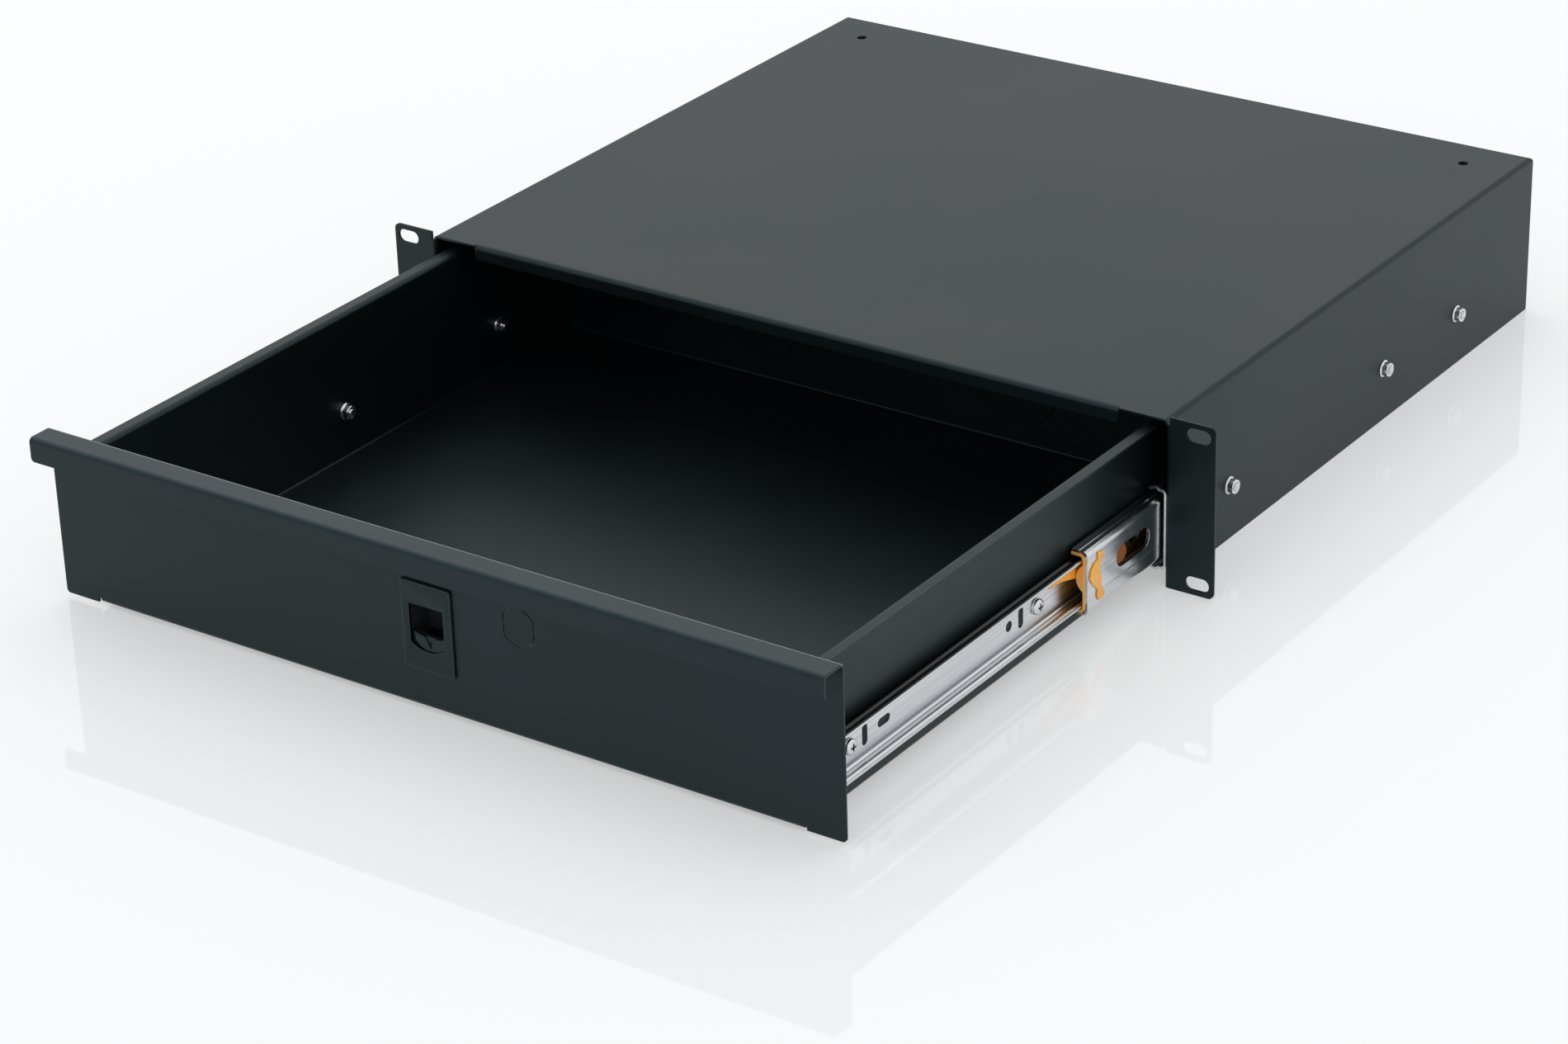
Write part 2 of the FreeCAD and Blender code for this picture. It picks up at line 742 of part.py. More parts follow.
def arched_block(half, low_side, arch, high, y0, y1):
    # A block whose lower edge is an arc, lowest in the middle.
    left = Vector(-half, y0, low_side)
    right = Vector(half, y0, low_side)
    arc = Part.Arc(left, Vector(0, y0, low_side - arch), right).toShape()
    sides = Part.makePolygon([right, Vector(half, y0, high), Vector(-half, y0, high), left])
    return Part.Face(Part.Wire([arc] + sides.Edges)).extrude(Vector(0, y1 - y0, 0))


def latch_bezel():
    face = front_shut_y
    half = bezel_width / 2
    low = bezel_z - bezel_height / 2
    front = face - bezel_thickness
    plate = box(-half, half, front, face, low, low + bezel_height)
    plate = rounded(plate, bezel_corner, lambda b: near(b.YLength, bezel_thickness))
    plate = plate.makeChamfer(bezel_edge, [edge for edge in plate.Edges
                                           if flat(edge.BoundBox.YMin, edge.BoundBox.YMax, front)])
    tub_in = tub_half - tub_wall
    tub = box(-tub_half, tub_half, face, face + tub_depth, window_side_z + tub_wall,
              window_top_z + tub_gap + tub_wall)
    window = arched_block(window_half_width, window_side_z, window_arch, window_top_z,
                          front - over, face + over)
    slider_room = box(-tub_in, tub_in, face, face + tub_depth - tub_wall, window_side_z, window_top_z)
    return join([plate, tub]).cut([window, slider_room])


def latch_slider():
    # Finger grip with a hollow top edge, a floor under the tub, a back plate and a bolt.
    grip_half = window_half_width
    grip_front = front_shut_y + latch_gap
    grip_back = grip_front + grip_thickness
    back = slider_back_y + slider_sheet
    grip = box(-grip_half, grip_half, grip_front, grip_back, grip_bottom_z, grip_side_z)
    grip = grip.cut(arched_block(grip_half + over, grip_side_z, grip_hollow, grip_side_z + grip_hollow,
                                 grip_front - over, grip_back + over))
    under = box(-grip_half, grip_half, grip_front, back, grip_bottom_z, grip_bottom_z + slider_sheet)
    plate = box(-grip_half, grip_half, slider_back_y, back, grip_bottom_z, shelf_z + slider_sheet)
    # Shut, the bolt stands just behind the case's front lip.
    bolt_front = sheet + bolt_front_gap
    bolt_back = bolt_front + bolt_thickness
    half = bolt_width / 2
    shelf = box(-half, half, bolt_front, back, shelf_z, shelf_z + slider_sheet)
    bolt = box(-half, half, bolt_front, bolt_back, shelf_z, bolt_top_z)
    ramp = [edge for edge in bolt.Edges if flat(edge.BoundBox.YMin, edge.BoundBox.YMax, bolt_back)
            and flat(edge.BoundBox.ZMin, edge.BoundBox.ZMax, bolt_top_z)]
    return join([grip, under, plate, shelf, bolt.makeChamfer(bolt_ramp, ramp)])


def latch_housing():
    # Moulded box behind the front that guides the slider and holds its spring.
    inner_half = tub_half + tub_gap
    half = inner_half + housing_wall
    back_in = slider_back_y + slider_sheet + latch_gap
    back = back_in + housing_wall
    top_in = shelf_z + slider_sheet + latch_gap
    outer = box(-half, half, front_back_y, back, housing_bottom_z, top_in + housing_wall)
    outer = rounded(outer, small_corner, lambda b: flat(b.YMin, b.YMax, back))
    room = box(-inner_half, inner_half, front_back_y - over, back_in, housing_bottom_z + housing_wall, top_in)
    slot_half = bolt_width / 2 + latch_gap
    slot_back = sheet + bolt_front_gap + bolt_thickness + 2 * latch_gap
    bolt_slot = box(-slot_half, slot_half, front_back_y - over, slot_back, top_in - over,
                    top_in + housing_wall + over)
    return outer.cut([room, bolt_slot])


def latch_spring():
    # Coil between the floor of the housing and the underside of the slider.
    low = housing_bottom_z + housing_wall + spring_wire / 2
    high = grip_bottom_z - spring_wire / 2
    mean = (spring_diameter - spring_wire) / 2
    centre_y = slider_back_y - spring_diameter / 2
    steps = spring_turns * spring_steps
    rings = []
    for k in range(steps + 1):
        turn = 2 * math.pi * k / spring_steps
        outwards = Vector(math.cos(turn), math.sin(turn), 0)
        centre = outwards * mean + Vector(0, centre_y, low + (high - low) * k / steps)
        ring = []
        for j in range(spring_wire_sides):
            round_wire = 2 * math.pi * j / spring_wire_sides
            ring.append(centre + outwards * (spring_wire / 2 * math.cos(round_wire))
                        + Vector(0, 0, spring_wire / 2 * math.sin(round_wire)))
        rings.append(ring)
    return closed_skin(rings)


# Slide members and what is on them

def slide_outer():
    member = channel(0, outer_leg_length, outer_top, member_sheet, outer_front, outer_length)
    member = formed_races(member, outer_ball_from_wall, outer_ball_z, 1, outer_front, outer_length)
    cuts = [flat_screw(y, screw_hole_clearance) for y in outer_screw_y]
    cuts.append(web_slot(outer_front + outer_relief_place, 0, outer_relief_length, outer_relief_height))
    return member.cut(cuts)


def clip_slot():
    # The slot in the middle member's web that the clip's hook passes through.
    front = middle_front + clip_slot_from_front
    return slide_box(middle_web - over, middle_web + middle_sheet + over, front,
                     front + clip_slot_length, clip_slot_low, clip_slot_high)


def slide_middle():
    member = channel(middle_web, middle_leg_end, middle_top, middle_sheet, middle_front, middle_length)
    member = pressed_races(member, middle_front, middle_length)
    cuts = [web_slot(y, window_rise, window_length, window_height) for y in window_y]
    line_front = middle_front + web_line_from_front
    line_back = middle_front + middle_length + over
    cuts.append(slide_box(middle_web - over, middle_web + web_line_depth, line_front, line_back,
                          -web_line_drop - web_line_width, -web_line_drop))
    return member.cut(cuts + [clip_slot()])


def slide_inner():
    member = channel(slide_thickness, inner_leg_tip, inner_top, member_sheet, inner_front, inner_length)
    member = formed_races(member, inner_ball_from_wall, inner_ball_z, -1, inner_front, inner_length)
    cuts = [upright_web_slot(inner_front + place, member_slot_length, member_slot_width)
            for place in upright_slot_places]
    cuts.append(web_slot(inner_front + level_slot_place, 0, level_slot_length, member_slot_width))
    small_hole = slide_point(slide_thickness + over, inner_front + small_hole_place, 0)
    access_hole = slide_point(slide_thickness + over, inner_front + access_hole_place, 0)
    through = member_sheet + 2 * over
    for start, diameter in ((small_hole, small_hole_diameter), (access_hole, access_hole_diameter)):
        cuts.append(flat_rod(start, Vector(1, 0, 0), diameter / 2, through, head_sides))
    cuts.append(rod(slide_point(slide_thickness + over, lever_pivot_y, lever_pivot_height), Vector(1, 0, 0),
                    rivet_diameter / 2 + rivet_clearance, through))
    return member.cut(cuts + screw_holes(inner_screw_y))


def rear_buffer():
    # Rubber stop in the rear end of the outer member.
    block = slide_box(member_sheet, outer_leg_length, inner_back + buffer_gap, outer_back, -inner_top,
                      inner_top)
    return rounded(block, small_corner, lambda b: flat(b.XMin, b.XMax, across(outer_leg_length)))


def front_clip():
    # Moulded clip in the front end of the middle member. Its channel lines the web and
    # both legs, a hook goes out through the web, a tongue lies behind the first window,
    # and its bowed front carries the stop that the lever catches.
    front = middle_front - clip_overhang
    back = middle_front + clip_length
    web_face = middle_web + middle_sheet
    leg_in = middle_top - middle_sheet
    track = inner_top + part_gap
    mouth_d = inner_leg_tip - part_gap
    body = channel(web_face, middle_leg_end, leg_in, clip_wall, front, back - front)
    body = body.cut(slide_box(mouth_d, middle_leg_end + over, front - over, back + over, -track, track))
    corners = [slide_point(d, front, z) for d, z in ((mouth_d, stop_high), (web_face, stop_high),
                                                     (web_face, stop_low), (mouth_d, stop_low))]
    crown = slide_point(stop_reach, front, (stop_low + stop_high) / 2)
    outline = Part.makePolygon(corners).Edges + [Part.Arc(corners[-1], crown, corners[0]).toShape()]
    bow = Part.Face(Part.Wire(outline)).extrude(Vector(0, clip_overhang + stop_length, 0))
    tongue_start = middle_front + clip_slot_from_front
    tongue_end = middle_front + clip_tongue_end
    tongue = web_slot((tongue_start + tongue_end) / 2, window_rise, tongue_end - tongue_start,
                      clip_tongue_width)
    tongue = tongue.common(slide_box(web_face, mouth_d, front, tongue_end, -leg_in, leg_in))
    plug = clip_slot().common(slide_box(middle_web - clip_hook_sheet, mouth_d, front, back, -leg_in, leg_in))
    return join([body, bow, tongue, plug, clip_hook()]).cut(slide_middle())


def clip_hook():
    # The hook on the outer face of the web: a bar that is wide where it comes through.
    face = middle_web - clip_hook_sheet
    corners = [slide_point(face, middle_front + y, z) for y, z in clip_hook_outline]
    return Part.Face(Part.makePolygon(corners + corners[:1])).extrude(Vector(-clip_hook_sheet, 0, 0))


def release_lever():
    # A flat wedge that narrows to its tip. It turns on a pin behind its face, and a hook
    # at its tail catches the clip's stop.
    tail = catch_y + hook_length
    outline = [
        (tail, lever_low), (tail, lever_tail_high), (lever_pivot_y + lever_shoulder, lever_high),
        (lever_tip_y, lever_high), (lever_tip_y, lever_high - lever_tip_height),
        (lever_pivot_y - lever_waist, lever_waist_low), (lever_pivot_y + lever_knee, lever_low),
    ]
    corners = [slide_point(lever_inner_face, y, z) for y, z in outline]
    bar = Part.Face(Part.makePolygon(corners + corners[:1])).extrude(Vector(-lever_thickness, 0, 0))
    bar = rounded(bar, lever_corner, lambda b: flat(b.YMin, b.YMax, lever_tip_y) and near(b.ZLength, 0))
    hook = slide_box(stop_reach - hook_overlap, lever_face, catch_y, tail, hook_low, lever_tail_high)
    bore = rod(slide_point(slide_thickness, lever_pivot_y, lever_pivot_height), Vector(1, 0, 0),
               rivet_diameter / 2 + rivet_clearance, slide_thickness - lever_inner_face - lever_cap)
    return join([bar, hook]).cut(bore)


def lever_rivet():
    # Pin pressed into the inner member, ending inside the lever.
    start = slide_point(slide_thickness, lever_pivot_y, lever_pivot_height)
    length = slide_thickness - lever_inner_face - lever_cap - part_gap
    return rod(start, Vector(1, 0, 0), rivet_diameter / 2, length)


os.makedirs("parts", exist_ok=True)

outer_screw_y = places(outer_front, outer_back, outer_screw_places)
inner_screw_y = places(inner_front, inner_back, inner_screw_places)
window_y = places(middle_front, middle_front + middle_length, window_places)

save("case_shell", [case_shell()], "case")
save("rear_panel", [rear_panel()], "case")

case_side = case_width / 2
outer_nuts = [nut(Vector(case_side, y, slide_centre_z), Vector(1, 0, 0)) for y in outer_screw_y]
save_pair("slide_outer", [slide_outer()], "case")
save_pair("outer_screws", [flat_screw(y, 0) for y in outer_screw_y], "case")
save_pair("outer_nuts", outer_nuts, "case")
save_pair("rear_buffer", [rear_buffer()], "case")

save_pair("slide_middle", [slide_middle()], "middle")
save_pair("front_clip", [front_clip()], "middle")

outer_strip, outer_balls = cage(member_sheet + cage_gap, outer_ball_z, outer_leg_length, outer_ball_from_wall,
                                middle_front + outer_cage_from_front, outer_cage_length, outer_cage_balls)
inner_strip, inner_balls = cage(inner_cage_web, inner_ball_z, middle_leg_end, inner_ball_from_wall,
                                inner_front + inner_cage_from_front, inner_cage_length, inner_cage_balls)
save_pair("outer_cage", [outer_strip], "outer_cage")
save_pair("outer_balls", outer_balls, "outer_cage")
save_pair("inner_cage", [inner_strip], "inner_cage")
save_pair("inner_balls", inner_balls, "inner_cage")

inner_nuts = [nut(Vector(pan_half - sheet, y, slide_centre_z), Vector(-1, 0, 0)) for y in inner_screw_y]
save("drawer_pan", [drawer_pan()], "drawer")
save("drawer_front", [drawer_front()], "drawer")
save_pair("slide_inner", [slide_inner()], "drawer")
save_pair("inner_screws", [pan_screw(y) for y in inner_screw_y], "drawer")
save_pair("inner_nuts", inner_nuts, "drawer")
save_pair("release_lever", [release_lever()], "drawer")
save_pair("lever_rivet", [lever_rivet()], "drawer")
save("latch_bezel", [latch_bezel()], "drawer")
save("latch_housing", [latch_housing()], "drawer")
save("latch_slider", [latch_slider()], "drawer")
save("latch_spring", [latch_spring()], "drawer")
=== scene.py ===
import math

import bmesh
import bpy
from mathutils import Matrix, Vector


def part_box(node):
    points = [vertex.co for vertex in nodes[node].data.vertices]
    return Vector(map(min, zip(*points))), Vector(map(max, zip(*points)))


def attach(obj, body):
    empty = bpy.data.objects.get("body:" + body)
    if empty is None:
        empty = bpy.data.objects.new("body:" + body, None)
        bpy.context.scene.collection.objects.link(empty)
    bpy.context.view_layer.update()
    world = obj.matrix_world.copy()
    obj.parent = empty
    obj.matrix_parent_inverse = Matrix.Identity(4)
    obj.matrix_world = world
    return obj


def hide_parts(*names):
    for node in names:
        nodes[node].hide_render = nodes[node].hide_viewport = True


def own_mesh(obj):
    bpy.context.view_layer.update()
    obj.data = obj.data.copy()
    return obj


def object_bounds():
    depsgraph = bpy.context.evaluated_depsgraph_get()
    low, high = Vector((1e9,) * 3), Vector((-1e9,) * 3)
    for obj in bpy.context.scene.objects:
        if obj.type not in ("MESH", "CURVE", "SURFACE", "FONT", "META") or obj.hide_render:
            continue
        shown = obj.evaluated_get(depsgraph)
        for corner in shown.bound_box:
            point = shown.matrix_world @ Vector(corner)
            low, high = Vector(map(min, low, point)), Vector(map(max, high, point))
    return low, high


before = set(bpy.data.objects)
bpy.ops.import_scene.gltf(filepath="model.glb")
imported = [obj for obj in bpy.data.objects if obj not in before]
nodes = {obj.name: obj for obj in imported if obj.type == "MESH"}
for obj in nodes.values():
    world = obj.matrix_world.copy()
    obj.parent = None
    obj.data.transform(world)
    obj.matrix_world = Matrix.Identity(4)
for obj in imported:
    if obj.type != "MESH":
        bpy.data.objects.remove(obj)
cad_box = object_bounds()

# Camera. The drawer is seen from its right front corner and a little from above, through a
# long lens, with the picture turned by a degree or two.
camera_place = Vector((1.13708, -1.60701, 0.90762))
camera_back = Vector((0.51849, -0.73133, 0.44309)).normalized()
camera_roll = -0.0309404
photo_width = 1900
focal_pixels = 5362.45
sensor_width = 36.0
sight_length = 20.0

level_right = Vector((0, 0, 1)).cross(camera_back).normalized()
level_up = camera_back.cross(level_right)
camera_right = level_right * math.cos(camera_roll) + level_up * math.sin(camera_roll)
camera_up = level_up * math.cos(camera_roll) - level_right * math.sin(camera_roll)

camera_data = bpy.data.cameras.new("camera")
camera_data.sensor_fit = "HORIZONTAL"
camera_data.sensor_width = sensor_width
camera_data.lens = focal_pixels / photo_width * sensor_width
camera_data.clip_end = sight_length
camera = bpy.data.objects.new("camera", camera_data)
turn = Matrix((camera_right, camera_up, camera_back)).transposed()
camera.matrix_world = Matrix.Translation(camera_place) @ turn.to_4x4()
bpy.context.scene.collection.objects.link(camera)
bpy.context.scene.camera = camera

# Studio. A smooth white table that mirrors the drawer faintly, in an evenly lit white room,
# with one wide soft lamp hung overhead on the left.
table_z = cad_box[0][2]
table_half = 6.0
table_colour = (0.92, 0.92, 0.92, 1)
table_roughness = 0.035
table_gloss = 0.9
table_lift = 0.4
room_colour = (0.96, 0.985, 1, 1)
room_light = 0.97
backdrop_colour = (1, 1, 1, 1)
lamp_place = Vector((-0.9, 0.5, 2.3))
lamp_width = 1.6
lamp_watts = 7

table_mesh = bpy.data.meshes.new("table")
corners = [(-1, -1), (1, -1), (1, 1), (-1, 1)]
table_mesh.from_pydata([(x * table_half, y * table_half, table_z) for x, y in corners],
                       [], [(0, 1, 2, 3)])
table = bpy.data.objects.new("table", table_mesh)
bpy.context.scene.collection.objects.link(table)

table_finish = bpy.data.materials.new("table_white")
table_finish.use_nodes = True
tree = table_finish.node_tree
gloss = tree.nodes["Principled BSDF"]
gloss.inputs["Base Color"].default_value = table_colour
gloss.inputs["Roughness"].default_value = table_roughness
gloss.inputs["Specular IOR Level"].default_value = table_gloss
lift = tree.nodes.new("ShaderNodeEmission")
lift.inputs["Strength"].default_value = 1.0


def seen_directly(tree, share):
    # That share where the camera looks at a surface straight, or in a mirror or through a pane,
    # and nought where the surface only throws its light on others.
    path = tree.nodes.new("ShaderNodeLightPath")
    total = path.outputs["Is Camera Ray"]
    for kind in ("Is Glossy Ray", "Is Transmission Ray"):
        either = tree.nodes.new("ShaderNodeMath")
        either.operation = "MAXIMUM"
        tree.links.new(total, either.inputs[0])
        tree.links.new(path.outputs[kind], either.inputs[1])
        total = either.outputs[0]
    part = tree.nodes.new("ShaderNodeMath")
    part.operation = "MULTIPLY"
    part.inputs[1].default_value = share
    tree.links.new(total, part.inputs[0])
    return part.outputs[0]


mix = tree.nodes.new("ShaderNodeMixShader")
tree.links.new(seen_directly(tree, table_lift), mix.inputs[0])
tree.links.new(gloss.outputs[0], mix.inputs[1])
tree.links.new(lift.outputs[0], mix.inputs[2])
tree.links.new(mix.outputs[0], tree.nodes["Material Output"].inputs["Surface"])
table_mesh.materials.append(table_finish)

room = bpy.data.worlds.new("room")
room.use_nodes = True
bpy.context.scene.world = room
tree = room.node_tree
air = tree.nodes["Background"]
air.inputs["Color"].default_value = room_colour
air.inputs["Strength"].default_value = room_light
backdrop = tree.nodes.new("ShaderNodeBackground")
backdrop.inputs["Color"].default_value = backdrop_colour
mix = tree.nodes.new("ShaderNodeMixShader")
tree.links.new(seen_directly(tree, 1.0), mix.inputs[0])
tree.links.new(air.outputs[0], mix.inputs[1])
tree.links.new(backdrop.outputs[0], mix.inputs[2])
tree.links.new(mix.outputs[0], tree.nodes["World Output"].inputs["Surface"])

lamp = bpy.data.lights.new("lamp_overhead", "AREA")
lamp.shape = "RECTANGLE"
lamp.size = lamp.size_y = lamp_width
lamp.energy = lamp_watts
lamp_holder = bpy.data.objects.new("lamp_overhead", lamp)
lamp_holder.location = lamp_place
lamp_holder.rotation_euler = (-lamp_place).to_track_quat("-Z", "Y").to_euler()
bpy.context.scene.collection.objects.link(lamp_holder)

# Case shell and rear panel. One sheet of 1.2 mm steel is folded into the top, the sides, the
# rack ears and the front lip, and a flanged panel is spot-welded in behind. Both are powder
# coated black, which leaves a fine satin grain and slightly rounded edges.
coat_dark = (0.0018, 0.0026, 0.0031, 1)
coat_light = (0.0040, 0.0060, 0.0072, 1)
coat_sheen = (0.60, 0.92, 1.0, 1)
coat_gloss = 0.38
coat_patches = 7
coat_grains = 1800
coat_grain_depth = 0.000008
coat_edge = 0.0006
rounding_samples = 6
smooth_angle = math.radians(32)


def new_finish(name):
    finish = bpy.data.materials.new(name)
    finish.use_nodes = True
    return finish, finish.node_tree, finish.node_tree.nodes["Principled BSDF"]


def grain(tree, lumps, stretch=(1, 1, 1), detail=2.0):
    # Noise laid in the object's own metres, with so many lumps to the metre.
    place = tree.nodes.new("ShaderNodeTexCoord")
    mapping = tree.nodes.new("ShaderNodeMapping")
    mapping.inputs["Scale"].default_value = stretch
    noise = tree.nodes.new("ShaderNodeTexNoise")
    noise.inputs["Scale"].default_value = lumps
    noise.inputs["Detail"].default_value = detail
    tree.links.new(place.outputs["Object"], mapping.inputs["Vector"])
    tree.links.new(mapping.outputs["Vector"], noise.inputs["Vector"])
    return noise.outputs["Fac"]


def ramp(tree, source, low, high, start=0.35, end=0.65):
    # Two colours, or two grey levels, spread over the middle of the noise.
    node = tree.nodes.new("ShaderNodeValToRGB")
    for stop, place, value in zip(node.color_ramp.elements, (start, end), (low, high)):
        stop.position = place
        stop.color = value if isinstance(value, tuple) else (value, value, value, 1)
    tree.links.new(source, node.inputs["Fac"])
    return node.outputs["Color"]


def uneven_gloss(tree, shader, lumps, smooth, rough):
    # Roughness that drifts between two values over the surface.
    tree.links.new(ramp(tree, grain(tree, lumps), smooth, rough), shader.inputs["Roughness"])


def relief(tree, shader, source, depth, edge, strength=1.0):
    # Surface grain as bump, over edges that the shader rounds by a fraction of a millimetre.
    bevel = tree.nodes.new("ShaderNodeBevel")
    bevel.samples = rounding_samples
    bevel.inputs["Radius"].default_value = edge
    bump = tree.nodes.new("ShaderNodeBump")
    bump.inputs["Strength"].default_value = strength
    bump.inputs["Distance"].default_value = depth
    tree.links.new(source, bump.inputs["Height"])
    tree.links.new(bevel.outputs["Normal"], bump.inputs["Normal"])
    tree.links.new(bump.outputs["Normal"], shader.inputs["Normal"])


def dress(node, finish):
    piece = nodes[node]
    piece.data.materials.clear()
    piece.data.materials.append(finish)
    piece.data.shade_smooth()
    piece.data.set_sharp_from_angle(angle=smooth_angle)


def powder_coating(name):
    finish, tree, shader = new_finish(name)
    colour = ramp(tree, grain(tree, coat_patches, detail=3), coat_dark, coat_light)
    tree.links.new(colour, shader.inputs["Base Color"])
    uneven_gloss(tree, shader, coat_patches, smooth=0.385, rough=0.425)
    shader.inputs["Specular IOR Level"].default_value = coat_gloss
    shader.inputs["Specular Tint"].default_value = coat_sheen
    relief(tree, shader, grain(tree, coat_grains), coat_grain_depth, coat_edge)
    return finish, tree, shader, colour


powder_coat = powder_coating("black_powder_coat")[0]
for node in ("case_shell", "rear_panel", "drawer_pan"):
    dress(node, powder_coat)

# Drawer front. The pull is folded forwards and down out of the front's own sheet. Its top is
# painted lighter as painted light, and a pale line along the back edge of the fold is a painted
# highlight.
painted_top_light_low = (0.012, 0.016, 0.018, 1)
painted_top_light_high = (0.016, 0.021, 0.023, 1)
painted_highlight_colour = (0.20, 0.225, 0.235, 1)
highlight_width = 0.0021
top_light_lumps = 30
top_skin = 0.0008
pull_depth = 0.0150


def own_place(tree):
    # Where a point lies on its piece, in the object's own metres.
    place = tree.nodes.new("ShaderNodeTexCoord")
    parts = tree.nodes.new("ShaderNodeSeparateXYZ")
    tree.links.new(place.outputs["Object"], parts.inputs["Vector"])
    return parts


def beyond(tree, parts, axis, edge):
    # One where the surface lies past a plane across that axis, else nought.
    step = tree.nodes.new("ShaderNodeMath")
    step.operation = "GREATER_THAN"
    step.inputs[1].default_value = edge
    tree.links.new(parts.outputs[axis], step.inputs[0])
    return step.outputs[0]


def both(tree, first, second):
    # One where two masks are both one.
    product = tree.nodes.new("ShaderNodeMath")
    product.operation = "MULTIPLY"
    tree.links.new(first, product.inputs[0])
    tree.links.new(second, product.inputs[1])
    return product.outputs[0]


def laid_over(tree, under, over, share):
    # One colour painted over another by a share from nought to one.
    blend = tree.nodes.new("ShaderNodeMixRGB")
    tree.links.new(share, blend.inputs["Fac"])
    for socket, colour in (("Color1", under), ("Color2", over)):
        if isinstance(colour, tuple):
            blend.inputs[socket].default_value = colour
        else:
            tree.links.new(colour, blend.inputs[socket])
    return blend.outputs["Color"]


front_low, front_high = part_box("drawer_front")
front_coat, tree, shader, colour = powder_coating("front_powder_coat")
parts = own_place(tree)
on_top = beyond(tree, parts, "Z", front_high.z - top_skin)
at_back = beyond(tree, parts, "Y", front_low.y + pull_depth - highlight_width)
# Painted light on the pull's top, and a painted highlight along the back edge of its fold.
painted_top_light = ramp(tree, grain(tree, top_light_lumps, detail=3), painted_top_light_low, painted_top_light_high)
colour = laid_over(tree, colour, painted_top_light, on_top)
colour = laid_over(tree, colour, painted_highlight_colour, both(tree, on_top, at_back))
tree.links.new(colour, shader.inputs["Base Color"])
dress("drawer_front", front_coat)

# Slide members. Three nested channels of rolled steel strip on each side, zinc plated, with
# the streaks of the rolling mill along them. The ball races are rolled into their legs, and
# the upper legs of the inner members are painted dark, as painted shade.
zinc_dark = (0.61, 0.63, 0.65, 1)
zinc_light = (0.72, 0.74, 0.76, 1)
leg_painted_shade = (0.05, 0.05, 0.052, 1)
along_the_strip = (1, 0.008, 1)
mill_streaks = 700
streak_depth = 0.000002
zinc_patches = 60
rolled_edge = 0.0003
leg_tip = 0.0013
web_half_height = 0.0098


def rolled_zinc(name):
    finish, tree, shader = new_finish(name)
    shader.inputs["Metallic"].default_value = 1.0
    streaks = grain(tree, mill_streaks, along_the_strip, detail=3)
    colour = ramp(tree, streaks, zinc_dark, zinc_light)
    tree.links.new(colour, shader.inputs["Base Color"])
    uneven_gloss(tree, shader, zinc_patches, smooth=0.20, rough=0.26)
    relief(tree, shader, streaks, streak_depth, rolled_edge, strength=0.4)
    return finish, tree, shader, colour


zinc = rolled_zinc("zinc_plated_steel")[0]
painted_shade_zinc, tree, shader, colour = rolled_zinc("painted_shade_zinc_steel")
parts = own_place(tree)
sideways = tree.nodes.new("ShaderNodeMath")
sideways.operation = "ABSOLUTE"
tree.links.new(parts.outputs["X"], sideways.inputs[0])
member_low, member_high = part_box("slide_inner_right")
behind_tip = tree.nodes.new("ShaderNodeMath")
behind_tip.operation = "LESS_THAN"
behind_tip.inputs[1].default_value = member_high.x - leg_tip
tree.links.new(sideways.outputs[0], behind_tip.inputs[0])
on_leg = beyond(tree, parts, "Z", (member_low.z + member_high.z) / 2 + web_half_height)
# Painted shade: the upper leg of each inner member is painted near black.
colour = laid_over(tree, colour, leg_painted_shade, both(tree, behind_tip.outputs[0], on_leg))
tree.links.new(colour, shader.inputs["Base Color"])

# The pins that the release levers turn on are plated like the members.
for side in ("left", "right"):
    for member in ("slide_outer", "slide_middle", "lever_rivet"):
        dress(member + "_" + side, zinc)
    dress("slide_inner_" + side, painted_shade_zinc)

# Rear buffers. A block of black rubber is pressed into the rear end of each outer member, and
# stops the middle member softly when the drawer is pushed in.
rubber_dark = (0.018, 0.018, 0.018, 1)
rubber_light = (0.03, 0.03, 0.03, 1)
rubber_pore_depth = 0.00005
rubber_edge = 0.0004

rubber, tree, shader = new_finish("buffer_rubber")
tree.links.new(ramp(tree, grain(tree, lumps=300), rubber_dark, rubber_light),
               shader.inputs["Base Color"])
shader.inputs["Roughness"].default_value = 0.75
relief(tree, shader, grain(tree, lumps=2500), rubber_pore_depth, rubber_edge)
for side in ("left", "right"):
    dress("rear_buffer_" + side, rubber)

# Ball cages and balls. The outer cages are stamped from thin steel strip and the inner ones
# moulded in amber plastic. The balls are polished and run in pockets in both.
ball_polish = (0.78, 0.78, 0.79, 1)
cage_dark = (0.40, 0.41, 0.42, 1)
cage_light = (0.58, 0.59, 0.60, 1)


def plain_metal(name, dark, light, lumps, stretch=(1, 1, 1), detail=2.0):
    # Bare or plated metal whose colour is a little cloudy.
    finish, tree, shader = new_finish(name)
    shader.inputs["Metallic"].default_value = 1.0
    colour = ramp(tree, grain(tree, lumps, stretch, detail), dark, light)
    tree.links.new(colour, shader.inputs["Base Color"])
    return finish, tree, shader


bright, tree, shader = new_finish("ball_steel")
shader.inputs["Metallic"].default_value = 1.0
shader.inputs["Base Color"].default_value = ball_polish
uneven_gloss(tree, shader, lumps=700, smooth=0.08, rough=0.16)

cage_steel, tree, shader = plain_metal("cage_steel", cage_dark, cage_light, lumps=300,
                                       stretch=along_the_strip)
shader.inputs["Roughness"].default_value = 0.38
relief(tree, shader, grain(tree, lumps=900, stretch=along_the_strip),
       depth=0.00002, edge=0.0002)

# Painted shade for the corners, then the two colours of the open faces.
amber_shades = ((0.68, 0.22, 0.035, 1), (1.0, 0.45, 0.09, 1), (1.0, 0.53, 0.15, 1))
corner_reach = 0.003
corner_samples = 8


